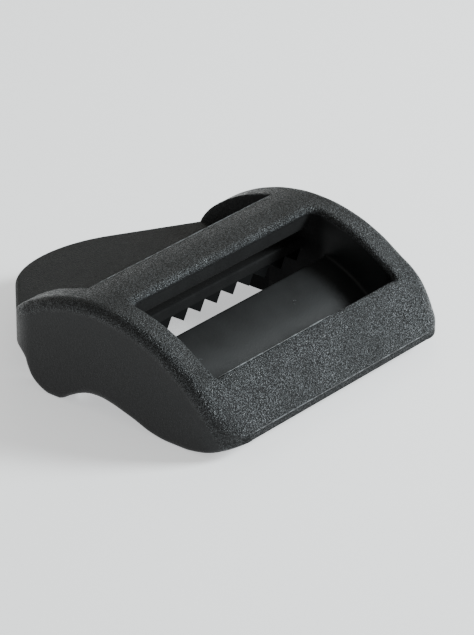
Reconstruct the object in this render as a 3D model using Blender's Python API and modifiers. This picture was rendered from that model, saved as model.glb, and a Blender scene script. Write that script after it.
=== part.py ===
"""One-piece moulded ladder-lock buckle for 25 mm webbing, built member by member.

Metres, +Z up. X runs along the cross bars, -Y is the front (the sewn end) and +Y the lift tab.
The origin is under the middle of the buckle, on the plane that its feet stand on.
All members belong to one moulding: each ends at a flat joint plane, JOINT_GAP from its neighbour.
"""

import math

import bmesh
import bpy
from mathutils import Matrix, Vector

MM = 0.001

# Driving dimensions, in millimetres
WIDTH = 33.0
LENGTH = 38.1
WEBBING_SLOT = 26.6
JOINT_GAP = 0.3

# The top surface and the guide ramp are arcs about one line, seen from the side
ARCH_Y, ARCH_Z = -2.8, -6.6
ARCH_RADIUS = 17.75
RAMP_RADIUS = 13.4
RAMP_THICKNESS = 1.9

WINDOW_FRONT = (-14.9, 6.72)
LIP_TOP = (-19.05, 2.35)
LIP_BOTTOM = (-18.85, 1.5)
PLATE_THICKNESS = 2.0

TOP_BAR_FRONT, TOP_BAR_REAR = -4.3, 0.9
TOP_BAR_THICKNESS = 2.2

TOOTH_COUNT = 11
TOOTH_PITCH = 2.4
TOOTH_HEIGHT = 0.73
TOOTH_FLAT = 0.04
TOOTH_BACK = -1.95
TOOTH_LEAN = math.radians(30)
VALLEY_EDGE = (-3.05, 6.22)

TAB_JOINT = 0.9
TAB_TOP_AT_JOINT = 6.75
TAB_SLOPE = -0.17
TAB_THICKNESS = 2.0
TAB_TIP_RADIUS = 9.9
TAB_FLANK_ANGLE = math.radians(43.5)

FRONT_CORNER_RADIUS = 3.8
REAR_CORNER_RADIUS = 4.0
CHEEK_FILLET = 1.1

# Half the length of the level stretch at a side outline point that touches the ground
GROUND_HANDLE = 0.5

HALF_SLOT = WEBBING_SLOT / 2
HALF_BAR = HALF_SLOT - JOINT_GAP
TIP_Y = LENGTH / 2

# Local X, Y and Z of a side outline become world Y, Z and X
SIDE_ON = Matrix(((0, 0, 1, 0), (1, 0, 0, 0), (0, 1, 0, 0), (0, 0, 0, 1)))


def clear_scene():
    for obj in list(bpy.data.objects):
        bpy.data.objects.remove(obj)


def collection(name):
    made = bpy.data.collections.new(name)
    bpy.context.scene.collection.children.link(made)
    return made


def plastic(name, colour, roughness):
    material = bpy.data.materials.new(name)
    material.use_nodes = True
    shader = material.node_tree.nodes["Principled BSDF"]
    shader.inputs["Base Color"].default_value = (*colour, 1.0)
    shader.inputs["Roughness"].default_value = roughness
    shader.inputs["Metallic"].default_value = 0.0
    return material


def arch(y, radius=ARCH_RADIUS):
    """The point at y on an arc about the arch line."""
    return (y, ARCH_Z + math.sqrt(radius**2 - (y - ARCH_Y) ** 2))


def arc(centre, radius, start, end, steps):
    """Points on an arc in the order from angle start to angle end, in radians."""
    turns = [start + (end - start) * i / steps for i in range(steps + 1)]
    return [(centre[0] + radius * math.cos(a), centre[1] + radius * math.sin(a)) for a in turns]


def tab_top(y):
    return TAB_TOP_AT_JOINT + TAB_SLOPE * (y - TAB_JOINT)


def outline_object(name, outline, thickness, smooth, resolution):
    """A closed outline in local XY as a solid of the given thickness about local Z = 0."""
    curve = bpy.data.curves.new(name, "CURVE")
    curve.dimensions = "2D"
    curve.fill_mode = "BOTH"
    curve.extrude = thickness * MM / 2
    curve.resolution_u = resolution
    spline = curve.splines.new("BEZIER" if smooth else "POLY")
    spline.use_cyclic_u = True
    if smooth:
        spline.bezier_points.add(len(outline) - 1)
        for point, (a, b) in zip(spline.bezier_points, outline, strict=True):
            point.co = (a * MM, b * MM, 0)
            on_ground = b == 0
            point.handle_left_type = "FREE" if on_ground else "AUTO"
            point.handle_right_type = "FREE" if on_ground else "AUTO"
            if on_ground:
                point.handle_left = ((a - GROUND_HANDLE) * MM, 0, 0)
                point.handle_right = ((a + GROUND_HANDLE) * MM, 0, 0)
    else:
        spline.points.add(len(outline) - 1)
        for point, (a, b) in zip(spline.points, outline, strict=True):
            point.co = (a * MM, b * MM, 0, 1)
    return bpy.data.objects.new(name, curve)


def solid(name, outline, thickness, placement, smooth=False, resolution=6):
    """The outline's solid as a welded mesh object, with its faces out."""
    source = outline_object(name + "_outline", outline, thickness, smooth, resolution)
    bpy.context.scene.collection.objects.link(source)
    source.matrix_world = placement
    bpy.context.view_layer.update()
    evaluated = source.evaluated_get(bpy.context.evaluated_depsgraph_get())
    mesh = bpy.data.meshes.new_from_object(evaluated)
    mesh.transform(placement)
    bpy.data.objects.remove(source)
    shape = bmesh.new()
    shape.from_mesh(mesh)
    bmesh.ops.remove_doubles(shape, verts=shape.verts, dist=1e-6)
    bmesh.ops.dissolve_limit(shape, angle_limit=math.radians(0.5), verts=shape.verts, edges=shape.edges)
    bmesh.ops.recalc_face_normals(shape, faces=shape.faces)
    shape.to_mesh(mesh)
    shape.free()
    mesh.name = name
    return bpy.data.objects.new(name, mesh)


def side_solid(name, outline, x_low, x_high, smooth=False, resolution=6):
    """An outline in world Y and Z, filled from x_low to x_high."""
    middle = Matrix.Translation(Vector((x_low + x_high, 0, 0)) * MM / 2)
    return solid(name, outline, x_high - x_low, middle @ SIDE_ON, smooth, resolution)


def finish(obj, target, material):
    obj.data.materials.clear()
    obj.data.materials.append(material)
    target.objects.link(obj)
    return obj


def cutter(obj, target):
    obj.hide_render = True
    obj.display_type = "WIRE"
    target.objects.link(obj)
    return obj


def boolean(obj, other, operation):
    step = obj.modifiers.new(operation.lower(), "BOOLEAN")
    step.object = other
    step.operation = operation


def bevel(obj, width, segments, angle):
    step = obj.modifiers.new("rounded_edges", "BEVEL")
    step.width = width * MM
    step.segments = segments
    step.limit_method = "ANGLE"
    step.angle_limit = angle
    step.use_clamp_overlap = False
    return step


def mark_outer_rim(obj, x_rim, z_low):
    """Gives full bevel weight to the sharp edges in the plane at x_rim that lie above z_low."""
    shape = bmesh.new()
    shape.from_mesh(obj.data)
    weight = shape.edges.layers.float.new("bevel_weight_edge")
    for edge in shape.edges:
        in_plane = all(abs(v.co.x - x_rim * MM) < 1e-6 for v in edge.verts)
        above = all(v.co.z > z_low * MM for v in edge.verts)
        if in_plane and above and edge.calc_face_angle(0) > 1:
            edge[weight] = 1.0
    shape.to_mesh(obj.data)
    shape.free()


def plan_outline():
    """The buckle seen from above: straight sides, rounded corners and the pointed tab."""
    half = WIDTH / 2
    square = FRONT_CORNER_RADIUS
    right = arc((half - square, LIP_TOP[0] + square), square, -math.pi / 2, 0, 6)
    swing = math.pi / 2 - TAB_FLANK_ANGLE
    tip_centre = (0, TIP_Y - TAB_TIP_RADIUS)
    corner_y = tip_centre[1] + (TAB_TIP_RADIUS - half * math.cos(swing)) / math.sin(swing)
    reach = REAR_CORNER_RADIUS * math.tan(swing / 2)
    rear_centre = (half - REAR_CORNER_RADIUS, corner_y - reach)
    right += arc(rear_centre, REAR_CORNER_RADIUS, 0, swing, 8)
    right += arc(tip_centre, TAB_TIP_RADIUS, swing, math.pi / 2, 8)
    left = [(-x, y) for x, y in reversed(right[:-1])]
    return right + left


def cheek_outline():
    """One cheek from the side: the arch, the sloping front, the belly, the notch and the heel."""
    top = [(10.3, 4.5), (9.6, 5.75), (9.0, 6.55), *(arch(y) for y in (8.0, 5.7, 3.5, 0.0, -3.5, -7.0, -10.5, -13.2))]
    front = [WINDOW_FRONT, (-17.0, 4.55), (-18.5, 2.93), LIP_TOP, LIP_BOTTOM, (-17.4, 0.85)]
    belly = [(-15.4, 0.3), (-13.4, 0.0), (-11.4, 0.0), (-9.4, 0.25), (-6.9, 1.05)]
    notch = [(-4.4, 1.65), (-2.6, 1.8), (-1.0, 1.55), (0.7, 0.75), (1.8, 0.1)]
    heel = [(2.4, 0.0), (3.2, 0.0), (4.9, 0.65), (6.1, 1.9), (7.1, 3.1), (8.6, 3.5), (10.3, 3.9)]
    return top + front + belly + notch + heel


def build_cheek(name, side, parts, cutters, material):
    inner, outer = HALF_SLOT, WIDTH / 2
    low, high = (inner, outer) if side > 0 else (-outer, -inner)
    cheek = side_solid(name, cheek_outline(), low, high, smooth=True, resolution=4)
    mark_outer_rim(cheek, side * outer, WINDOW_FRONT[1] / 2)
    bevel(cheek, CHEEK_FILLET, 4, 0).limit_method = "WEIGHT"
    trim = solid(name + "_plan", plan_outline(), 40.0, Matrix.Identity(4))
    boolean(cheek, cutter(trim, cutters), "INTERSECT")
    return finish(cheek, parts, material)


def build_front_plate(parts, material):
    """The sloping bar that the sewn webbing is looped round, with its lip along the bottom."""
    run = Vector(LIP_TOP) - Vector(WINDOW_FRONT)
    inward = Vector((-run.y, run.x)).normalized() * PLATE_THICKNESS
    inner_top = Vector(WINDOW_FRONT) + inward
    inner_bottom = inner_top + run * 0.93
    outline = [WINDOW_FRONT, LIP_TOP, LIP_BOTTOM, (-18.3, 1.0), (-17.6, 0.8)]
    outline += [tuple(inner_bottom), tuple(inner_top)]
    plate = side_solid("front_plate", outline, -HALF_BAR, HALF_BAR)
    bevel(plate, 0.1, 2, math.radians(40))
    return finish(plate, parts, material)


def build_guide_ramp(parts, material):
    """The smooth curved bar inside the window, which the webbing slides up."""
    centre = (ARCH_Y, ARCH_Z)
    rear_y, front_y = -6.05, -13.3
    rear = math.acos((rear_y - ARCH_Y) / RAMP_RADIUS)
    front = math.acos((front_y - ARCH_Y) / RAMP_RADIUS)
    outline = arc(centre, RAMP_RADIUS, rear, front, 10)
    outline += arc(centre, RAMP_RADIUS - RAMP_THICKNESS, front, rear, 10)
    ramp = side_solid("guide_ramp", outline, -HALF_BAR, HALF_BAR)
    bevel(ramp, 0.15, 2, math.radians(50))
    return finish(ramp, parts, material)


def build_top_bar(parts, material):
    """The keeper bar across the top, flush with the arch."""
    steps = 6
    span = TOP_BAR_REAR - TOP_BAR_FRONT
    top = [arch(TOP_BAR_REAR - span * i / steps) for i in range(steps + 1)]
    under = arch(ARCH_Y)[1] - TOP_BAR_THICKNESS
    outline = top + [(TOP_BAR_FRONT, under), (TOP_BAR_REAR, under)]
    bar = side_solid("top_bar", outline, -HALF_BAR, HALF_BAR)
    bevel(bar, 0.45, 3, math.radians(40))
    return finish(bar, parts, material)


def tooth_gaps():
    """The spaces between the tooth ridges, as one toothed solid that runs along Y."""
    half_pitch = TOOTH_PITCH / 2
    end = TOOTH_COUNT * half_pitch
    deep = 3 * TOOTH_HEIGHT
    outline = [(end, deep), (-end, deep)]
    for i in range(2 * TOOTH_COUNT + 1):
        depth = TOOTH_HEIGHT + TOOTH_FLAT if i % 2 else TOOTH_FLAT
        outline.append((-end + half_pitch * i, depth))
    length = 4.0
    downward = Matrix(((1, 0, 0, 0), (0, 0, 1, 0), (0, -1, 0, 0), (0, 0, 0, 1)))
    centre = Vector((0, TOOTH_BACK + TOOTH_FLAT - length / 2, VALLEY_EDGE[1])) * MM
    return solid("tooth_gaps", outline, length, Matrix.Translation(centre) @ downward)


def build_locking_bar(parts, cutters, material):
    """The bar behind the gap, with a row of tooth ridges along its lower front edge."""
    valley_y, valley_z = VALLEY_EDGE
    tip = (valley_y - TOOTH_HEIGHT * math.tan(TOOTH_LEAN), valley_z - TOOTH_HEIGHT)
    rear = TAB_JOINT - JOINT_GAP
    outline = [(valley_y, tab_top(valley_y)), VALLEY_EDGE, tip, (TOOTH_BACK, tip[1])]
    outline += [(-1.2, 4.95), (rear, tab_top(rear) - TAB_THICKNESS), (rear, tab_top(rear))]
    bar = side_solid("locking_bar", outline, -HALF_BAR, HALF_BAR)
    boolean(bar, cutter(tooth_gaps(), cutters), "DIFFERENCE")
    return finish(bar, parts, material)


def build_lift_tab(parts, cutters, material):
    """The flat tab behind the locking bar, with the plan's rounded point."""
    front, rear = TAB_JOINT, TIP_Y + 1
    top = [(rear, tab_top(rear)), (front, tab_top(front))]
    under = [(front, tab_top(front) - TAB_THICKNESS), (rear, tab_top(rear) - TAB_THICKNESS)]
    tab = side_solid("lift_tab", top + under, -HALF_BAR, HALF_BAR)
    trim = solid("lift_tab_plan", plan_outline(), 40.0, Matrix.Identity(4))
    boolean(tab, cutter(trim, cutters), "INTERSECT")
    bevel(tab, 0.5, 2, math.radians(50))
    return finish(tab, parts, material)


def main():
    clear_scene()
    parts = collection("ladder_lock_buckle")
    cutters = collection("cutters")
    grained = plastic("grained_black", (0.018, 0.019, 0.020), 0.55)
    smooth = plastic("smooth_black", (0.014, 0.015, 0.017), 0.38)
    build_cheek("left_cheek", -1, parts, cutters, grained)
    build_cheek("right_cheek", 1, parts, cutters, grained)
    build_front_plate(parts, grained)
    build_guide_ramp(parts, smooth)
    build_top_bar(parts, grained)
    build_locking_bar(parts, cutters, smooth)
    build_lift_tab(parts, cutters, grained)


main()
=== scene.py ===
"""Ladder-lock buckle: the finished look of one black plastic moulding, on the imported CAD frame.

The moulding is one distance field. Its fillets, blends and flush faces come from rounded
intersections and unions of the members, and a surface net turns the field into a mesh.
Lengths in the builders are millimetres; meshes and node inputs are metres.
"""

import math

import bpy
import numpy as np
from mathutils import Matrix, Vector


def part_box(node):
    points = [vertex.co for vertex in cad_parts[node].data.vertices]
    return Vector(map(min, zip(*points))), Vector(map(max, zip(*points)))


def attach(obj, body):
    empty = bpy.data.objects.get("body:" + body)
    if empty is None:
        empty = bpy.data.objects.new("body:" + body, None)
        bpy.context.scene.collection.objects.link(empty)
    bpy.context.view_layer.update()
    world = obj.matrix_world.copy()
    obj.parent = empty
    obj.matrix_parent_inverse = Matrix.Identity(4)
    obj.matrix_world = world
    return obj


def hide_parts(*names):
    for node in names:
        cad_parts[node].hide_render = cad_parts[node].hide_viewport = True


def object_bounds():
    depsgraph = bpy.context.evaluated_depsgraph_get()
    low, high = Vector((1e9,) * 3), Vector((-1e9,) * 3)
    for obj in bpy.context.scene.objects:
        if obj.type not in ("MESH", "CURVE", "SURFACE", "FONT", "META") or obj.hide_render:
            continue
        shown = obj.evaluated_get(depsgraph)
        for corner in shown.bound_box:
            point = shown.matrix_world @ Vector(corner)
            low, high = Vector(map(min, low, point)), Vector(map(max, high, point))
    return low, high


bl_info = {
    "name": "Ladder-Lock Buckle",
    "version": (1, 0, 0),
    "blender": (4, 5, 0),
    "location": "3D View > Sidebar > Buckle",
    "description": "Builds a moulded ladder-lock buckle for flat webbing, and its stage",
    "category": "Object",
}

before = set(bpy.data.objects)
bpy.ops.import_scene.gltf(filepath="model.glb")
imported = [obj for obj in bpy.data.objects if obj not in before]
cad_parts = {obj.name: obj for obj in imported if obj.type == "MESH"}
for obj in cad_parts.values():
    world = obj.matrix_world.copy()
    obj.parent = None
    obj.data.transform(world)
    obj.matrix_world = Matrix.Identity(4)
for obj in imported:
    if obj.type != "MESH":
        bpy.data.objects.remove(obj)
CAD_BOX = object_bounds()
MM = 0.001
NODES = ("left_cheek", "right_cheek", "front_plate", "guide_ramp", "top_bar", "locking_bar", "lift_tab")


def node_box(node):
    """A CAD node's lowest and highest corners in millimetres."""
    return tuple(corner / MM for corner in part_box(node))


# Taken from the frame, in millimetres
HALF_WIDTH = CAD_BOX[1][0] / MM
TIP_Y = CAD_BOX[1][1] / MM
FRONT_Y = CAD_BOX[0][1] / MM
HALF_SLOT = node_box("right_cheek")[0].x
TOP_BAR_FRONT = node_box("top_bar")[0].y
TOP_BAR_REAR = node_box("top_bar")[1].y
TOP_BAR_UNDER = node_box("top_bar")[0].z

# The top surface and the guide ramp are arcs about one line along X
ARCH = (-2.8, -6.6)
ARCH_RADIUS = 17.75
RAMP_RADIUS = 13.4
RAMP_THICKNESS = 1.9
RAMP_REAR, RAMP_FRONT = -6.05, -13.3

WINDOW_FRONT = (-14.9, 6.72)
LIP_TOP = (-19.05, 2.35)
LIP_BOTTOM = (-18.85, 1.5)
SLOPE = (LIP_TOP[0] - WINDOW_FRONT[0], LIP_TOP[1] - WINDOW_FRONT[1])
PLATE_THICKNESS = 2.0

TOOTH_LEAN = math.radians(30)
TOOTH_BACK = -1.95
TOOTH_ROOT = 0.05
VALLEY_EDGE = (-3.05, 6.22)
TAB_JOINT = 0.9
TAB_OVERLAP = 0.6
TAB_TOP_AT_JOINT = 6.75
TAB_SLOPE = -0.17
TAB_THICKNESS = 2.0
TAB_TIP_RADIUS = 9.9
TAB_FLANK_ANGLE = math.radians(43.5)
FRONT_CORNER_RADIUS = 3.8
REAR_CORNER_RADIUS = 4.0

# The mesh: the space round the field, and the most triangles
FIELD_MARGIN = 0.57
MOULDING_TRIANGLES = 190000

PLASTIC_IOR = 1.49
PLASTIC_SPECULAR = 0.24
FLOOR_HALF = 1.5


# Sizes and colours that a user would change


class BuckleSizes(bpy.types.PropertyGroup):
    """Fillets and teeth of the moulding"""

    rim_fillet: bpy.props.FloatProperty(
        name="Rim Fillet",
        description="Radius of the rounded edge between a cheek's side and the arched top",
        default=1.1 * MM,
        min=0.2 * MM,
        max=2.0 * MM,
        unit="LENGTH",
        precision=5,
    )
    foot_fillet: bpy.props.FloatProperty(
        name="Foot Fillet",
        description="Radius of the rounded edge along the bottom of each cheek",
        default=0.45 * MM,
        min=0.1 * MM,
        max=1.0 * MM,
        unit="LENGTH",
        precision=5,
    )
    bar_fillet: bpy.props.FloatProperty(
        name="Bar Fillet",
        description="Radius of the top bar's front edge",
        default=0.6 * MM,
        min=0.1 * MM,
        max=1.0 * MM,
        unit="LENGTH",
        precision=5,
    )
    tab_fillet: bpy.props.FloatProperty(
        name="Tab Fillet",
        description="Radius of the lift tab's top and bottom edges",
        default=0.5 * MM,
        min=0.1 * MM,
        max=0.9 * MM,
        unit="LENGTH",
        precision=5,
    )
    cell: bpy.props.FloatProperty(
        name="Mesh Cell",
        description="Grid spacing that the moulding's surface is taken from",
        default=0.16 * MM,
        min=0.1 * MM,
        max=0.6 * MM,
        unit="LENGTH",
        precision=5,
    )
    tooth_count: bpy.props.IntProperty(
        name="Teeth",
        description="Number of tooth ridges along the locking bar",
        default=11,
        min=1,
        max=40,
    )
    tooth_pitch: bpy.props.FloatProperty(
        name="Tooth Pitch",
        description="Distance from one tooth tip to the next",
        default=2.4 * MM,
        min=0.5 * MM,
        max=5.0 * MM,
        unit="LENGTH",
        precision=5,
    )
    tooth_height: bpy.props.FloatProperty(
        name="Tooth Height",
        description="Height of a tooth tip above the valley beside it",
        default=0.73 * MM,
        min=0.2 * MM,
        max=2.0 * MM,
        unit="LENGTH",
        precision=5,
    )
    flash: bpy.props.FloatProperty(
        name="Flash Radius",
        description="Radius of the raised line that the mould's parting leaves",
        default=0.055 * MM,
        min=0.01 * MM,
        max=0.3 * MM,
        unit="LENGTH",
        precision=5,
    )


class BuckleFinish(bpy.types.PropertyGroup):
    """Colour and grain of the plastic"""

    black: bpy.props.FloatVectorProperty(
        name="Plastic",
        description="Colour of the moulded plastic",
        subtype="COLOR",
        size=3,
        min=0.0,
        max=1.0,
        default=(0.0068, 0.0073, 0.0077),
    )
    grain_size: bpy.props.FloatProperty(
        name="Grain Size",
        description="Spacing of the spark-eroded grain",
        default=0.20 * MM,
        min=0.02 * MM,
        max=1.0 * MM,
        unit="LENGTH",
        precision=5,
    )
    grain_depth: bpy.props.FloatProperty(
        name="Grain Depth",
        description="Depth of the grain on the sloping front plate, where it is coarsest",
        default=0.30 * MM,
        min=0.0,
        max=0.5 * MM,
        unit="LENGTH",
        precision=6,
    )
    grained_roughness: bpy.props.FloatProperty(
        name="Grained Roughness",
        description="Roughness of the grained faces",
        subtype="FACTOR",
        min=0.0,
        max=1.0,
        default=0.42,
    )
    smooth_roughness: bpy.props.FloatProperty(
        name="Smooth Roughness",
        description="Roughness of the guide ramp and the inner walls",
        subtype="FACTOR",
        min=0.0,
        max=1.0,
        default=0.55,
    )


class BuckleStage(bpy.types.PropertyGroup):
    """Floor and studio lights"""

    floor: bpy.props.FloatVectorProperty(
        name="Floor",
        description="Colour of the floor",
        subtype="COLOR",
        size=3,
        min=0.0,
        max=1.0,
        default=(0.9, 0.9, 0.9),
    )
    key_power: bpy.props.FloatProperty(
        name="Key Power",
        description="Power of the key light at the front right",
        subtype="POWER",
        default=2.8,
        min=0.0,
    )


# Shader maths


class Value:
    """A shader number that Python's operators turn into Math nodes."""

    def __init__(self, maker, socket):
        self.maker = maker
        self.socket = socket

    def __add__(self, other):
        return self.maker.math("ADD", self, other)

    __radd__ = __add__

    def __sub__(self, other):
        return self.maker.math("SUBTRACT", self, other)

    def __rsub__(self, other):
        return self.maker.math("SUBTRACT", other, self)

    def __mul__(self, other):
        return self.maker.math("MULTIPLY", self, other)

    __rmul__ = __mul__

    def __truediv__(self, other):
        return self.maker.math("DIVIDE", self, other)

    def __rtruediv__(self, other):
        return self.maker.math("DIVIDE", other, self)

    def __pow__(self, other):
        return self.maker.math("POWER", self, other)

    def __abs__(self):
        return self.maker.math("ABSOLUTE", self)

    def step(self, low, high):
        """0 below low, 1 above high, smooth between."""
        return self.maker.step(self, low, high)


class Finish:
    """A Principled material whose nodes are added by name."""

    def __init__(self, name):
        self.material = bpy.data.materials.new(name)
        self.material.use_nodes = True
        self.tree = self.material.node_tree
        self.shader = self.tree.nodes["Principled BSDF"]

    def node(self, kind, settings=None, **inputs):
        """One node: its settings first, then its sockets by name or position."""
        made = self.tree.nodes.new(kind)
        for key, setting in (settings or {}).items():
            setattr(made, key, setting)
        for key, source in inputs.items():
            slot = made.inputs[int(key[1:])] if key[0] == "_" else made.inputs[key.replace("_", " ")]
            self.connect(slot, source)
        return made

    def connect(self, slot, source):
        if isinstance(source, Value):
            self.tree.links.new(source.socket, slot)
        else:
            slot.default_value = source

    def output(self, node, name):
        return Value(self, node.outputs[name])

    def math(self, operation, first, second=0.0):
        made = self.node("ShaderNodeMath", {"operation": operation}, _0=first, _1=second)
        return self.output(made, "Value")

    def step(self, value, low, high):
        made = self.node(
            "ShaderNodeMapRange",
            {"interpolation_type": "SMOOTHSTEP"},
            Value=value,
            From_Min=low,
            From_Max=high,
        )
        return self.output(made, "Result")

    def mix(self, factor, first, second):
        """The first colour where factor is 0, the second where it is 1."""
        made = self.node("ShaderNodeMix", {"data_type": "RGBA"}, _0=factor, _6=first, _7=second)
        return Value(self, made.outputs[2])

    def position(self):
        """Object coordinates, and their three parts, in millimetres."""
        point = self.output(self.node("ShaderNodeTexCoord"), "Object")
        scaled = self.node("ShaderNodeVectorMath", {"operation": "SCALE"}, _0=point, Scale=1 / MM)
        point = self.output(scaled, "Vector")
        parts = self.node("ShaderNodeSeparateXYZ", Vector=point)
        return point, self.output(parts, "X"), self.output(parts, "Y"), self.output(parts, "Z")

    def noise(self, point, size, detail=2.0, roughness=0.5):
        """Noise whose features are about size millimetres across."""
        made = self.node(
            "ShaderNodeTexNoise",
            {"noise_dimensions": "3D"},
            Vector=point,
            Scale=1 / size,
            Detail=detail,
            Roughness=roughness,
        )
        return self.output(made, "Fac")

    def finish(self, **inputs):
        for key, source in inputs.items():
            self.connect(self.shader.inputs[key.replace("_", " ")], source)
        return self.material


def opaque(colour, gain=1.0):
    return (*(gain * part for part in colour), 1.0)


def moulded_black(settings):
    """Spark-eroded grain on the outside, smoother plastic on the ramp and the inner walls, with painted
    sparkle on the grain and painted shade in the hollow behind the window.
    """
    finish = Finish("moulded_black")
    point, x, y, z = finish.position()
    radius = ((y - ARCH[0]) ** 2.0 + (z - ARCH[1]) ** 2.0) ** 0.5
    between_cheeks = 1 - abs(x).step(HALF_SLOT + 0.02, HALF_SLOT + 0.12)
    below_arch = 1 - radius.step(ARCH_RADIUS - 0.75, ARCH_RADIUS - 0.35)
    ahead_of_tab = 1 - y.step(TOP_BAR_REAR - 0.1, TOP_BAR_REAR + 0.2)
    in_tab = (z - TAB_SLOPE * y).step(TAB_TOP_AT_JOINT - 1.1, TAB_TOP_AT_JOINT - 0.7)
    under_tab = y.step(-4.0, -3.0) * (1 - in_tab)
    inside = between_cheeks * (1 - (1 - below_arch * ahead_of_tab) * (1 - under_tab))
    run, drop = (part / math.hypot(*SLOPE) for part in SLOPE)
    above_slope = (y - WINDOW_FRONT[0]) * drop + (z - WINDOW_FRONT[1]) * -run
    on_slope = above_slope.step(-0.5, -0.2)
    inside = inside * (1 - on_slope)
    # Painted shade: the hollow behind the window, under the top bar, is marked to be painted darker and made
    # rougher
    painted_shade_recess = inside * y.step(-6.5, -5.0)
    below_rim = (1 - radius.step(ARCH_RADIUS - 1.4, ARCH_RADIUS - 0.8)) * (1 - above_slope.step(-1.3, -0.7))
    side = abs(x).step(HALF_WIDTH - 1.6, HALF_WIDTH - 0.4) * below_rim
    bar_start = y.step(TOP_BAR_FRONT - 0.4, TOP_BAR_FRONT - 0.1)
    bar_end = y.step(TOP_BAR_FRONT + 0.4, TOP_BAR_FRONT + 1.0)
    bar_front = bar_start * (1 - bar_end) * between_cheeks
    tab = y.step(TOP_BAR_REAR, TOP_BAR_REAR + 0.3) * (1 - abs(x).step(HALF_SLOT, HALF_SLOT + 0.4))

    coarse = finish.noise(point, settings.grain_size / MM, detail=2.0, roughness=0.6)
    fine = finish.noise(point, settings.grain_size / MM * 0.5, detail=2.0, roughness=0.6)
    mottle = finish.noise(point, 3.2, detail=3.0, roughness=0.55)
    outside = 1 - inside
    coverage = outside * (0.55 + 0.45 * (on_slope + bar_front)) * (1 - 0.85 * side) * (1 - 0.7 * tab)
    height = (coarse * 0.75 + fine * 0.35) * (coverage + 0.03)
    bump = finish.node("ShaderNodeBump", Height=height, Distance=settings.grain_depth, Strength=1.0)

    lip = (1 - y.step(LIP_TOP[0] + 0.25, LIP_TOP[0] + 0.5)) * (1 - z.step(LIP_TOP[1] - 0.1, LIP_TOP[1] + 0.1))
    # Painted sparkle: lighter flecks on the grain's high points stand in for glints of the key light, weaker
    # on the lip and the tab
    painted_peak_sparkle = fine.step(0.5, 0.62) * coarse.step(0.4, 0.56) * coverage * (1 - 0.7 * lip) * (1 - 0.8 * tab)
    tone = finish.mix(painted_peak_sparkle, opaque(settings.black), opaque(settings.black, 22.0))
    tone = finish.mix(mottle.step(0.35, 0.7) * 0.5, tone, opaque(settings.black, 1.35))
    # Painted shade darkens the hollow behind the window
    tone = finish.mix(painted_shade_recess, tone, opaque(settings.black, 0.2))
    roughness = (
        settings.grained_roughness
        + (settings.smooth_roughness - settings.grained_roughness) * inside
        + (mottle - 0.5) * (0.12 + 0.25 * inside)
        + (0.5 - coarse) * 1.8 * coverage
        + 0.35 * painted_shade_recess
        + 0.45 * lip
        + 0.22 * tab
    )
    return finish.finish(
        Base_Color=tone,
        Roughness=roughness,
        Normal=finish.output(bump, "Normal"),
        IOR=PLASTIC_IOR,
        Specular_IOR_Level=PLASTIC_SPECULAR,
    )


def smooth_black(settings):
    """Rougher plastic without the coarse grain, for the teeth, painted darker as shade."""
    finish = Finish("smooth_black")
    point = finish.position()[0]
    fine = finish.noise(point, 0.09, detail=2.0)
    drift = finish.noise(point, 1.8, detail=2.0)
    bump = finish.node("ShaderNodeBump", Height=fine, Distance=0.004 * MM, Strength=1.0)
    # Painted shade: the teeth sit in shadow under the top bar, so they are painted 0.3 to 0.5 times the
    # plastic's colour
    tone = finish.mix(drift.step(0.3, 0.7) * 0.5, opaque(settings.black, 0.3), opaque(settings.black, 0.5))
    return finish.finish(
        Base_Color=tone,
        Roughness=settings.smooth_roughness + 0.25 + (drift - 0.5) * 0.12,
        Normal=finish.output(bump, "Normal"),
        IOR=PLASTIC_IOR,
        Specular_IOR_Level=0.05,
    )


def flash_black(settings):
    """The raised lines and marks, with painted highlight in scattered stretches."""
    finish = Finish("flash_black")
    point = finish.position()[0]
    painted_glint_stretches = finish.noise(point, 0.7, detail=3.0, roughness=0.6)
    # Painted highlight: the lighter stretches stand in for light caught by the raised flash
    tone = finish.mix(painted_glint_stretches.step(0.42, 0.62), opaque(settings.black, 1.5), opaque(settings.black, 15.0))
    bump = finish.node("ShaderNodeBump", Height=painted_glint_stretches, Distance=0.02 * MM, Strength=1.0)
    return finish.finish(
        Base_Color=tone,
        Roughness=0.3 + 0.3 * painted_glint_stretches,
        Normal=finish.output(bump, "Normal"),
        IOR=PLASTIC_IOR,
        Specular_IOR_Level=PLASTIC_SPECULAR,
    )


# Outlines, in millimetres


def arch(y, radius=ARCH_RADIUS):
    """The point at y on an arc about the arch line."""
    return (y, ARCH[1] + math.sqrt(radius**2 - (y - ARCH[0]) ** 2))


def arc(centre, radius, start, end, steps):
    turns = [start + (end - start) * i / steps for i in range(steps + 1)]
    return [(centre[0] + radius * math.cos(a), centre[1] + radius * math.sin(a)) for a in turns]


def tab_top(y):
    return TAB_TOP_AT_JOINT + TAB_SLOPE * (y - TAB_JOINT)


def plan_outline():
    """The buckle seen from above: straight sides, rounded corners and the pointed tab."""
    square = FRONT_CORNER_RADIUS
    right = arc((HALF_WIDTH - square, LIP_TOP[0] + square), square, -math.pi / 2, 0, 12)
    swing = math.pi / 2 - TAB_FLANK_ANGLE
    tip_y = TIP_Y - TAB_TIP_RADIUS
    corner_y = tip_y + (TAB_TIP_RADIUS - HALF_WIDTH * math.cos(swing)) / math.sin(swing)
    reach = REAR_CORNER_RADIUS * math.tan(swing / 2)
    rear_centre = (HALF_WIDTH - REAR_CORNER_RADIUS, corner_y - reach)
    right += arc(rear_centre, REAR_CORNER_RADIUS, 0, swing, 12)
    right += arc((0, tip_y), TAB_TIP_RADIUS, swing, math.pi / 2, 16)
    return right + [(-x, y) for x, y in reversed(right[:-1])]


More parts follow.
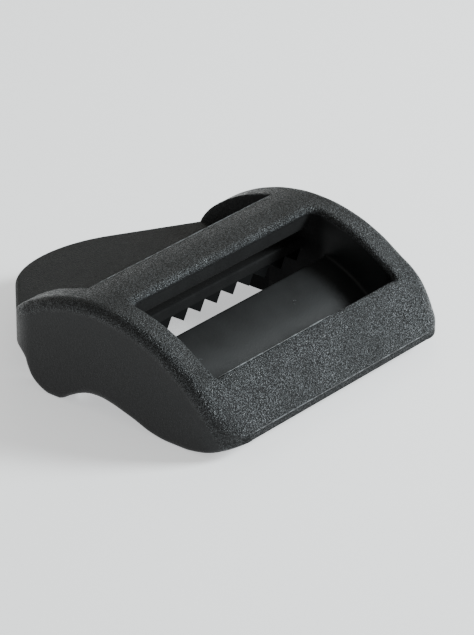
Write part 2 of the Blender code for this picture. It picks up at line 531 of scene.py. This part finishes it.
def cheek_points():
    """Points that one cheek's side outline passes through, from its rear over the top."""
    rear = [(10.3, 4.5), (9.6, 5.75), (9.0, 6.55)]
    top = [arch(y) for y in (8.0, 5.7, 3.5, 0.0, -3.5, -7.0, -10.5, -13.2)]
    front = [WINDOW_FRONT, (-17.0, 4.55), (-18.5, 2.93), LIP_TOP, LIP_BOTTOM, (-17.4, 0.85)]
    belly = [(-15.4, 0.3), (-13.4, 0.0), (-11.4, 0.0), (-9.4, 0.25), (-6.9, 1.05)]
    notch = [(-4.4, 1.65), (-2.6, 1.8), (-1.0, 1.55), (0.7, 0.75), (1.8, 0.1)]
    heel = [(2.4, 0.0), (3.2, 0.0), (4.9, 0.65), (6.1, 1.9), (7.1, 3.1), (8.6, 3.5), (10.3, 3.9)]
    return rear + top + front + belly + notch + heel


def cheek_outline():
    """The cheek's outline as a fine polygon, level where it touches the ground."""
    curve = bpy.data.curves.new("cheek_outline", "CURVE")
    curve.dimensions = "2D"
    curve.resolution_u = 8
    spline = curve.splines.new("BEZIER")
    spline.use_cyclic_u = True
    points = cheek_points()
    spline.bezier_points.add(len(points) - 1)
    for point, (a, b) in zip(spline.bezier_points, points, strict=True):
        on_ground = b == 0
        kind = "FREE" if on_ground else "VECTOR" if (a, b) in (LIP_TOP, LIP_BOTTOM) else "AUTO"
        point.co = (a, b, 0)
        point.handle_left_type = kind
        point.handle_right_type = kind
        if on_ground:
            point.handle_left = (a - 0.5, 0, 0)
            point.handle_right = (a + 0.5, 0, 0)
    obj = bpy.data.objects.new("cheek_outline", curve)
    bpy.context.scene.collection.objects.link(obj)
    bpy.context.view_layer.update()
    mesh = bpy.data.meshes.new_from_object(obj.evaluated_get(bpy.context.evaluated_depsgraph_get()))
    outline = [(v.co.x, v.co.y) for v in mesh.vertices]
    bpy.data.objects.remove(obj)
    bpy.data.meshes.remove(mesh)
    return outline


# Distance fields: negative inside, in millimetres


def outline_distance(outline, u, v):
    """Distance from the points (u, v) to a closed outline."""
    u, v = np.broadcast_arrays(u, v)
    nearest = np.full(u.shape, np.inf)
    inside = np.zeros(u.shape, bool)
    ends = outline[1:] + outline[:1]
    for (au, av), (bu, bv) in zip(outline, ends, strict=True):
        du, dv = bu - au, bv - av
        length = du * du + dv * dv
        if length < 1e-12:
            continue
        along = np.clip(((u - au) * du + (v - av) * dv) / length, 0, 1)
        gap = (u - au - along * du) ** 2 + (v - av - along * dv) ** 2
        nearest = np.minimum(nearest, gap)
        if av != bv:
            crosses = (av > v) != (bv > v)
            inside ^= crosses & (u < (bu - au) * (v - av) / (bv - av) + au)
    return np.where(inside, -1.0, 1.0) * np.sqrt(nearest)


def both(a, b, radius):
    """Where a and b overlap, its edge rounded."""
    rounded = np.hypot(np.maximum(a + radius, 0), np.maximum(b + radius, 0))
    return np.minimum(np.maximum(a, b), -radius) + rounded


def either(a, b, radius):
    """a and b together, the corner between them filled."""
    filled = np.hypot(np.maximum(radius - a, 0), np.maximum(radius - b, 0))
    return np.maximum(np.minimum(a, b), radius) - filled


def plane(u, v, through, along):
    """Distance to a line in the plane, positive on the left of its direction."""
    length = math.hypot(*along)
    return ((v - through[1]) * along[0] - (u - through[0]) * along[1]) / length


class Moulding:
    """The whole buckle, without its teeth, as one distance field."""

    def __init__(self, sizes):
        self.rim = sizes.rim_fillet / MM
        self.foot = sizes.foot_fillet / MM
        self.bar = sizes.bar_fillet / MM
        self.tab = sizes.tab_fillet / MM
        self.side = cheek_outline()
        self.plan = plan_outline()

    def envelope(self, x, y, z, plan):
        side = outline_distance(self.side, y, z)
        radius = np.interp(z, (1.5, 3.5), (self.foot, self.rim))
        radius = np.minimum(radius, np.interp(y, (5.5, 8.5), (self.rim, 0.3)))
        at_lip = np.interp(y, (-18.9, -17.4), (1, 0)) * np.interp(z, (2.6, 4.0), (1, 0))
        radius = radius + (0.12 - radius) * at_lip
        return both(side, plan, radius)

    def front_plate(self, y, z):
        outer = -plane(y, z, WINDOW_FRONT, SLOPE)
        back = -outer - PLATE_THICKNESS
        upper = plane(y, z, WINDOW_FRONT, (-SLOPE[1], SLOPE[0]))
        lower = -plane(y, z, (-17.6, 0.8), (1.0, -0.55))
        return both(both(back, upper, 0.25), lower, 0.3), outer

    def guide_ramp(self, y, z):
        reach = np.hypot(y - ARCH[0], z - ARCH[1])
        thickness = both(reach - RAMP_RADIUS, RAMP_RADIUS - RAMP_THICKNESS - reach, 0.2)
        rear = arch(RAMP_REAR, RAMP_RADIUS)
        front = arch(RAMP_FRONT, RAMP_RADIUS)
        behind = plane(y, z, rear, (ARCH[0] - rear[0], ARCH[1] - rear[1]))
        ahead = -plane(y, z, front, (ARCH[0] - front[0], ARCH[1] - front[1]))
        return both(both(thickness, behind, 0.18), ahead, 0.3)

    def top_bar(self, y, z):
        across = np.maximum(TOP_BAR_FRONT - y, y - TOP_BAR_REAR)
        return both(across, TOP_BAR_UNDER - z, 0.45)

    def locking_bar(self, y, z):
        front_top = (VALLEY_EDGE[0], tab_top(VALLEY_EDGE[0]))
        rear = TAB_JOINT + TAB_OVERLAP
        outline = [front_top, VALLEY_EDGE, (TOOTH_BACK, VALLEY_EDGE[1]), (TOOTH_BACK, 5.5), (-1.2, 4.95)]
        outline += [(rear, tab_top(rear) - TAB_THICKNESS), (rear, tab_top(rear))]
        return outline_distance(outline, y, z)

    def lift_tab(self, y, z, plan):
        slant = math.hypot(1.0, TAB_SLOPE)
        above = (z - tab_top(y)) / slant
        below = -above - TAB_THICKNESS
        ahead = TAB_JOINT - TAB_OVERLAP - y
        slab = np.maximum(both(above, below, self.tab), ahead)
        return both(slab, plan, self.tab)

    def distance(self, x, y, z):
        plan = outline_distance(self.plan, x, y)
        wall = HALF_SLOT - np.abs(x)
        plate, outer = self.front_plate(y, z)
        members = either(wall, self.top_bar(y, z), np.interp(y, (-3.0, -1.0), (1.0, 0.25)))
        members = either(members, plate, 0.35)
        members = either(members, self.guide_ramp(y, z), 0.3)
        members = either(members, self.locking_bar(y, z), 0.2)
        in_window = np.interp(y, (-15.8, -15.0, -3.4, -2.0), (0, 1, 1, 0))
        off_plate = np.maximum(np.interp(y, (-14.6, -13.4), (0, 1)), np.interp(wall, (0.3, 0.9), (1, 0)))
        edge = 0.13 + (self.bar - 0.13) * in_window * off_plate
        body = both(self.envelope(x, y, z, plan), members, edge)
        in_corner = np.interp(np.abs(x), (HALF_SLOT - 0.3, HALF_SLOT), (0.3, 0.0))
        return either(body, self.lift_tab(y, z, plan), in_corner)


def surface_net(field, low, high, cell):
    """Corner points and quads of the surface where field is zero, between two corners."""
    axes = [np.arange(a, b + cell, cell) for a, b in zip(low, high, strict=True)]
    x, y, z = axes[0][:, None, None], axes[1][None, :, None], axes[2][None, None, :]
    values = field(x, y, z).astype(np.float32)
    solid = values < 0
    shape = tuple(n - 1 for n in values.shape)
    corners = [(i, j, k) for i in (0, 1) for j in (0, 1) for k in (0, 1)]
    count = sum(
        solid[i : i + shape[0], j : j + shape[1], k : k + shape[2]].astype(np.uint8) for i, j, k in corners
    )
    cells = np.argwhere((count > 0) & (count < 8))
    total = np.zeros((len(cells), 3))
    hits = np.zeros(len(cells))
    for a in corners:
        for axis in range(3):
            if a[axis]:
                continue
            b = tuple(1 if n == axis else a[n] for n in range(3))
            va = values[tuple((cells + a).T)].astype(float)
            vb = values[tuple((cells + b).T)].astype(float)
            cut = (va < 0) != (vb < 0)
            share = np.where(cut, va / np.where(cut, va - vb, 1), 0)
            place = np.array(a, float) + share[:, None] * np.array([n == axis for n in range(3)], float)
            total += place * cut[:, None]
            hits += cut
    points = np.array(low) + (cells + total / hits[:, None]) * cell
    index = np.full(shape, -1, np.int64)
    index[tuple(cells.T)] = np.arange(len(cells))
    quads = []
    for axis in range(3):
        u, v = [n for n in range(3) if n != axis]
        near = [slice(None)] * 3
        far = [slice(None)] * 3
        near[axis] = slice(0, -1)
        far[axis] = slice(1, None)
        first, second = solid[tuple(near)], solid[tuple(far)]
        edges = np.argwhere(first != second)
        inner = (edges[:, u] > 0) & (edges[:, v] > 0) & (edges[:, u] < shape[u]) & (edges[:, v] < shape[v])
        edges = edges[inner]
        outward = first[tuple(edges.T)] ^ (axis == 1)
        ring = []
        for du, dv in ((-1, -1), (0, -1), (0, 0), (-1, 0)):
            at = edges.copy()
            at[:, u] += du
            at[:, v] += dv
            ring.append(index[tuple(at.T)])
        ring = np.array(ring).T
        quads.append(np.where(outward[:, None], ring, ring[:, ::-1]))
    return points, np.concatenate(quads)


def settle(field, points, rounds=3, limit=0.1):
    """Points moved onto the surface where field is zero."""
    tiny = 0.01
    for _ in range(rounds):
        here = field(*points.T)
        slope = []
        for axis in range(3):
            shift = np.zeros(3)
            shift[axis] = tiny
            slope.append((field(*(points + shift).T) - field(*(points - shift).T)) / (2 * tiny))
        slope = np.array(slope).T
        steep = np.maximum((slope**2).sum(1), 0.25)
        move = -(here / steep)[:, None] * slope
        size = np.linalg.norm(move, axis=1)
        points = points + move * np.minimum(1, limit / np.maximum(size, 1e-9))[:, None]
    return points


# Mesh helpers


def link(obj):
    bpy.context.scene.collection.objects.link(obj)
    return obj


def plain(obj):
    """Applies obj's modifiers, or turns its curve into a mesh, and returns the plain mesh object."""
    bpy.context.view_layer.update()
    mesh = bpy.data.meshes.new_from_object(obj.evaluated_get(bpy.context.evaluated_depsgraph_get()))
    name = obj.name
    bpy.data.objects.remove(obj)
    mesh.name = name
    return link(bpy.data.objects.new(name, mesh))


def shade(obj, material):
    obj.data.materials.clear()
    obj.data.materials.append(material)
    obj.data.polygons.foreach_set("use_smooth", [True] * len(obj.data.polygons))
    obj.data.update()
    return obj


def thinned(obj, triangles):
    """obj with no more than about that many triangles."""
    present = sum(len(p.vertices) - 2 for p in obj.data.polygons)
    if present <= triangles:
        return obj
    step = obj.modifiers.new("thin", "DECIMATE")
    step.ratio = triangles / present
    return plain(obj)


# Pieces


class BUCKLE_OT_moulding(bpy.types.Operator):
    """Build the buckle's one moulding, with all its bars, walls and fillets"""

    bl_idname = "buckle.moulding"
    bl_label = "Moulding"
    bl_options = {"REGISTER", "UNDO"}

    def execute(self, context):
        sizes = context.scene.buckle_sizes
        cell = sizes.cell / MM
        field = Moulding(sizes).distance
        low = (-HALF_WIDTH - FIELD_MARGIN, FRONT_Y - FIELD_MARGIN, -FIELD_MARGIN)
        high = (HALF_WIDTH + FIELD_MARGIN, TIP_Y + FIELD_MARGIN, CAD_BOX[1][2] / MM + FIELD_MARGIN)
        points, quads = surface_net(field, low, high, cell)
        points = settle(field, points)
        mesh = bpy.data.meshes.new("moulding")
        mesh.from_pydata((points * MM).tolist(), [], quads.tolist())
        mesh.validate()
        piece = thinned(link(bpy.data.objects.new("moulding", mesh)), MOULDING_TRIANGLES)
        shade(piece, moulded_black(context.scene.buckle_finish))
        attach(piece, "root")
        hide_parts(*NODES)
        return {"FINISHED"}


def tooth_tree():
    """Geometry nodes for a straight row of triangular ridges."""
    tree = bpy.data.node_groups.new("tooth_row", "GeometryNodeTree")
    tree.interface.new_socket("Geometry", in_out="OUTPUT", socket_type="NodeSocketGeometry")
    tree.interface.new_socket("Count", in_out="INPUT", socket_type="NodeSocketInt")
    for name in ("Pitch", "Height", "Run", "Lean"):
        tree.interface.new_socket(name, in_out="INPUT", socket_type="NodeSocketFloat")
    tree.interface.new_socket("Place", in_out="INPUT", socket_type="NodeSocketVector")
    tree.interface.new_socket("Turn", in_out="INPUT", socket_type="NodeSocketRotation")
    tree.interface.new_socket("Material", in_out="INPUT", socket_type="NodeSocketMaterial")

    def add(kind, settings=None, **inputs):
        node = tree.nodes.new(kind)
        for key, setting in (settings or {}).items():
            setattr(node, key, setting)
        for key, source in inputs.items():
            slot = node.inputs[int(key[1:])] if key[0] == "_" else node.inputs[key.replace("_", " ")]
            if isinstance(source, bpy.types.NodeSocket):
                tree.links.new(source, slot)
            else:
                slot.default_value = source
        return node

    given = add("NodeGroupInput").outputs
    # A cylinder of three sides points along +X, 1.5 deep and the square root of 3 wide
    tooth = add("GeometryNodeMeshCylinder", Vertices=3, Radius=1.0, Depth=given["Run"])
    height = add("ShaderNodeMath", {"operation": "DIVIDE"}, _0=given["Height"], _1=1.5)
    width = add("ShaderNodeMath", {"operation": "DIVIDE"}, _0=given["Pitch"], _1=math.sqrt(3))
    scale = add("ShaderNodeCombineXYZ", X=height.outputs[0], Y=width.outputs[0], Z=1.0)
    half_height = add("ShaderNodeMath", {"operation": "MULTIPLY"}, _0=height.outputs[0], _1=0.5)
    half_run = add("ShaderNodeMath", {"operation": "MULTIPLY"}, _0=given["Run"], _1=0.5)
    base = add("ShaderNodeCombineXYZ", X=half_height.outputs[0], Z=half_run.outputs[0])
    upright = add(
        "GeometryNodeTransform",
        Geometry=tooth.outputs["Mesh"],
        Translation=base.outputs[0],
        Scale=scale.outputs[0],
    )
    # The front end leans forward with the bar's face, and the back end stays upright
    parts = add("ShaderNodeSeparateXYZ", Vector=add("GeometryNodeInputPosition").outputs[0])
    slope = add("ShaderNodeMath", {"operation": "TANGENT"}, _0=given["Lean"])
    along = add("ShaderNodeMath", {"operation": "DIVIDE"}, _0=parts.outputs["Z"], _1=given["Run"])
    frontness = add("ShaderNodeMath", {"operation": "SUBTRACT"}, _0=1.0, _1=along.outputs[0])
    lean = add("ShaderNodeMath", {"operation": "MULTIPLY"}, _0=parts.outputs["X"], _1=slope.outputs[0])
    ahead = add("ShaderNodeMath", {"operation": "MULTIPLY"}, _0=lean.outputs[0], _1=frontness.outputs[0])
    back = add("ShaderNodeMath", {"operation": "MULTIPLY"}, _0=ahead.outputs[0], _1=-1.0)
    shift = add("ShaderNodeCombineXYZ", Z=back.outputs[0])
    shaped = add("GeometryNodeSetPosition", Geometry=upright.outputs[0], Offset=shift.outputs[0])

    gaps = add("ShaderNodeMath", {"operation": "SUBTRACT"}, _0=given["Count"], _1=1.0)
    reach = add("ShaderNodeMath", {"operation": "MULTIPLY"}, _0=gaps.outputs[0], _1=given["Pitch"])
    start = add("ShaderNodeMath", {"operation": "MULTIPLY"}, _0=reach.outputs[0], _1=-0.5)
    first = add("ShaderNodeCombineXYZ", Y=start.outputs[0])
    offset = add("ShaderNodeCombineXYZ", Y=given["Pitch"])
    line = add(
        "GeometryNodeMeshLine",
        {"mode": "OFFSET"},
        Count=given["Count"],
        Start_Location=first.outputs[0],
        Offset=offset.outputs[0],
    )
    row = add("GeometryNodeInstanceOnPoints", Points=line.outputs[0], Instance=shaped.outputs[0])
    placed = add(
        "GeometryNodeTransform",
        Geometry=row.outputs[0],
        Translation=given["Place"],
        Rotation=given["Turn"],
    )
    solid = add("GeometryNodeRealizeInstances", Geometry=placed.outputs[0])
    coated = add("GeometryNodeSetMaterial", Geometry=solid.outputs[0], Material=given["Material"])
    add("NodeGroupOutput", Geometry=coated.outputs[0])
    return tree


def set_inputs(modifier, **values):
    """Sets a geometry nodes modifier's inputs by their sockets' identifiers."""
    for item in modifier.node_group.interface.items_tree:
        if item.item_type == "SOCKET" and item.in_out == "INPUT" and item.name in values:
            modifier[item.identifier] = values[item.name]


class BUCKLE_OT_teeth(bpy.types.Operator):
    """Build the row of teeth along the locking bar"""

    bl_idname = "buckle.teeth"
    bl_label = "Teeth"
    bl_options = {"REGISTER", "UNDO"}

    def execute(self, context):
        sizes = context.scene.buckle_sizes
        down = Vector((0, 0, -1))
        turn = Matrix((down, Vector((-1, 0, 0)), Vector((0, 1, 0)))).transposed().to_euler()
        valley = Vector((0, *VALLEY_EDGE)) - TOOTH_ROOT * down
        row = link(bpy.data.objects.new("tooth_row", bpy.data.meshes.new("tooth_row")))
        modifier = row.modifiers.new("tooth_row", "NODES")
        modifier.node_group = tooth_tree()
        set_inputs(
            modifier,
            Count=sizes.tooth_count,
            Pitch=sizes.tooth_pitch,
            Height=sizes.tooth_height + TOOTH_ROOT * MM,
            Run=(TOOTH_BACK - VALLEY_EDGE[0]) * MM,
            Lean=TOOTH_LEAN,
            Place=tuple(valley * MM),
            Turn=tuple(turn),
            Material=smooth_black(context.scene.buckle_finish),
        )
        row = plain(row)
        if not row.data.polygons:
            raise RuntimeError("the tooth row came out empty")
        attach(row, "root")
        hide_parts("locking_bar")
        return {"FINISHED"}


def strip(name, path, radius, material):
    """A thin round strip along a path in millimetres, tapered at its ends."""
    curve = bpy.data.curves.new(name, "CURVE")
    curve.dimensions = "3D"
    curve.bevel_depth = radius * MM
    curve.bevel_resolution = 2
    curve.use_fill_caps = True
    spline = curve.splines.new("POLY")
    spline.points.add(len(path) - 1)
    last = len(path) - 1
    for i, (point, place) in enumerate(zip(spline.points, path, strict=True)):
        point.co = (*(c * MM for c in place), 1)
        point.radius = min(1.0, 0.2 + 0.4 * min(i, last - i))
    piece = plain(link(bpy.data.objects.new(name, curve)))
    return shade(piece, material)


class BUCKLE_OT_parting(bpy.types.Operator):
    """Lay the raised parting lines, the top bar's nick and the two pin marks"""

    bl_idname = "buckle.parting"
    bl_label = "Parting Lines"
    bl_options = {"REGISTER", "UNDO"}

    def execute(self, context):
        radius = context.scene.buckle_sizes.flash / MM
        material = flash_black(context.scene.buckle_finish)
        sink = 0.6 * radius
        square = FRONT_CORNER_RADIUS
        centre = (HALF_WIDTH - square, LIP_TOP[0] + square)
        right = arc(centre, square - 0.09, -math.pi / 2, -0.35, 12)
        left = [(-x, y) for x, y in reversed(right)]
        between = [(x, LIP_TOP[0] + 0.09) for x in np.linspace(-centre[0], centre[0], 26)[1:-1]]
        lip = [(x, y, LIP_TOP[1] + 0.02) for x, y in left + between + right]
        rear = TOP_BAR_REAR - 0.02
        across = [(x, rear, arch(rear)[1] - sink) for x in np.linspace(-HALF_SLOT - 0.2, HALF_SLOT + 0.2, 28)]
        pieces = [strip("lip_parting", lip, radius, material), strip("bar_parting", across, radius, material)]
        for side, name in ((-1, "left_rim_parting"), (1, "right_rim_parting")):
            rim = [
                (side * (HALF_SLOT + sink), y, arch(y, ARCH_RADIUS - sink)[1])
                for y in np.linspace(rear, 8.0, 24)
            ]
            pieces.append(strip(name, rim, radius, material))
        top_edge = [(x, WINDOW_FRONT[0] + 0.02, WINDOW_FRONT[1]) for x in np.linspace(-HALF_SLOT, 3.0, 20)]
        pieces.append(strip("window_parting", top_edge, 1.4 * radius, material))
        nick = [(0.40, -3.35, 11.10), (0.50, -3.70, 11.08), (0.60, -3.97, 10.98), (0.62, -4.18, 10.80)]
        pieces.append(strip("bar_nick", nick, radius, material))
        for name, place in (("left_pin_mark", (-9.3, -9.5)), ("right_pin_mark", (5.2, -8.9))):
            ring = [(place[0] + a, place[1] + b) for a, b in arc((0, 0), 0.25, 0, 4.2, 10)]
            ring = [(x, y, arch(y, RAMP_RADIUS)[1] - 0.02) for x, y in ring]
            pieces.append(strip(name, ring, 0.6 * radius, material))
        for piece in pieces:
            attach(piece, "root")
        return {"FINISHED"}


# Stage


def aim(obj, place, target):
    """Puts obj at place, looking at target, both in millimetres."""
    obj.location = Vector(place) * MM
    obj.rotation_euler = (Vector(target) - Vector(place)).to_track_quat("-Z", "Y").to_euler()


def soft_light(name, place, target, size, power, colour):
    lamp = bpy.data.lights.new(name, "AREA")
    lamp.shape = "RECTANGLE"
    lamp.size, lamp.size_y = (side * MM for side in size)
    lamp.energy = power
    lamp.color = colour
    obj = link(bpy.data.objects.new(name, lamp))
    aim(obj, place, target)
    return obj


class BUCKLE_OT_stage(bpy.types.Operator):
    """Set out the pale floor, the soft lights and the camera"""

    bl_idname = "buckle.stage"
    bl_label = "Stage"
    bl_options = {"REGISTER", "UNDO"}

    def execute(self, context):
        stage = context.scene.buckle_stage
        mesh = bpy.data.meshes.new("floor")
        half = FLOOR_HALF
        corners = [(-half, -half, 0), (half, -half, 0), (half, half, 0), (-half, half, 0)]
        mesh.from_pydata(corners, [], [(0, 1, 2, 3)])
        floor = link(bpy.data.objects.new("floor", mesh))
        pale = Finish("pale_floor")
        floor.data.materials.append(
            pale.finish(
                Base_Color=opaque(stage.floor),
                Roughness=0.9,
                Emission_Color=(0.97, 0.985, 1.0, 1.0),
                Emission_Strength=0.66,
            )
        )

        world = bpy.data.worlds.new("studio")
        world.use_nodes = True
        world.node_tree.nodes["Background"].inputs["Color"].default_value = (1.0, 1.0, 0.95, 1.0)
        world.node_tree.nodes["Background"].inputs["Strength"].default_value = 0.36
        context.scene.world = world

        power = stage.key_power
        soft_light("key", (238, -226, 166), (0, -10, 4), (120, 110), power, (0.93, 1.0, 1.02))
        soft_light("back_fill", (250, 190, 200), (0, -4, 6), (160, 140), 0.045 * power, (1.0, 1.0, 0.93))

        lens = bpy.data.cameras.new("view")
        lens.sensor_fit = "HORIZONTAL"
        lens.sensor_width = 36
        lens.lens = 299.63
        lens.clip_start = 0.01
        lens.clip_end = 10
        camera = link(bpy.data.objects.new("view", lens))
        aim(camera, (-255.81, -220.0, 174.01), (0.077, -5.95, 4.741))
        context.scene.camera = camera
        return {"FINISHED"}


class BUCKLE_PT_panel(bpy.types.Panel):
    """Lists the buckle's pieces and their settings"""

    bl_idname = "BUCKLE_PT_panel"
    bl_label = "Ladder-Lock Buckle"
    bl_space_type = "VIEW_3D"
    bl_region_type = "UI"
    bl_category = "Buckle"

    def draw(self, context):
        layout = self.layout
        for settings in (context.scene.buckle_sizes, context.scene.buckle_finish, context.scene.buckle_stage):
            box = layout.box()
            for name in settings.bl_rna.properties.keys():
                if name not in ("rna_type", "name"):
                    box.prop(settings, name)
        for operator in OPERATORS:
            layout.operator(operator.bl_idname)


OPERATORS = (BUCKLE_OT_moulding, BUCKLE_OT_teeth, BUCKLE_OT_parting, BUCKLE_OT_stage)
CLASSES = (BuckleSizes, BuckleFinish, BuckleStage, *OPERATORS, BUCKLE_PT_panel)


def register():
    for cls in CLASSES:
        bpy.utils.register_class(cls)
    bpy.types.Scene.buckle_sizes = bpy.props.PointerProperty(type=BuckleSizes)
    bpy.types.Scene.buckle_finish = bpy.props.PointerProperty(type=BuckleFinish)
    bpy.types.Scene.buckle_stage = bpy.props.PointerProperty(type=BuckleStage)


def unregister():
    del bpy.types.Scene.buckle_stage
    del bpy.types.Scene.buckle_finish
    del bpy.types.Scene.buckle_sizes
    for cls in reversed(CLASSES):
        bpy.utils.unregister_class(cls)


def main():
    register()
    bpy.ops.buckle.moulding()
    bpy.ops.buckle.teeth()
    bpy.ops.buckle.parting()
    bpy.ops.buckle.stage()


if __name__ == "__main__":
    main()
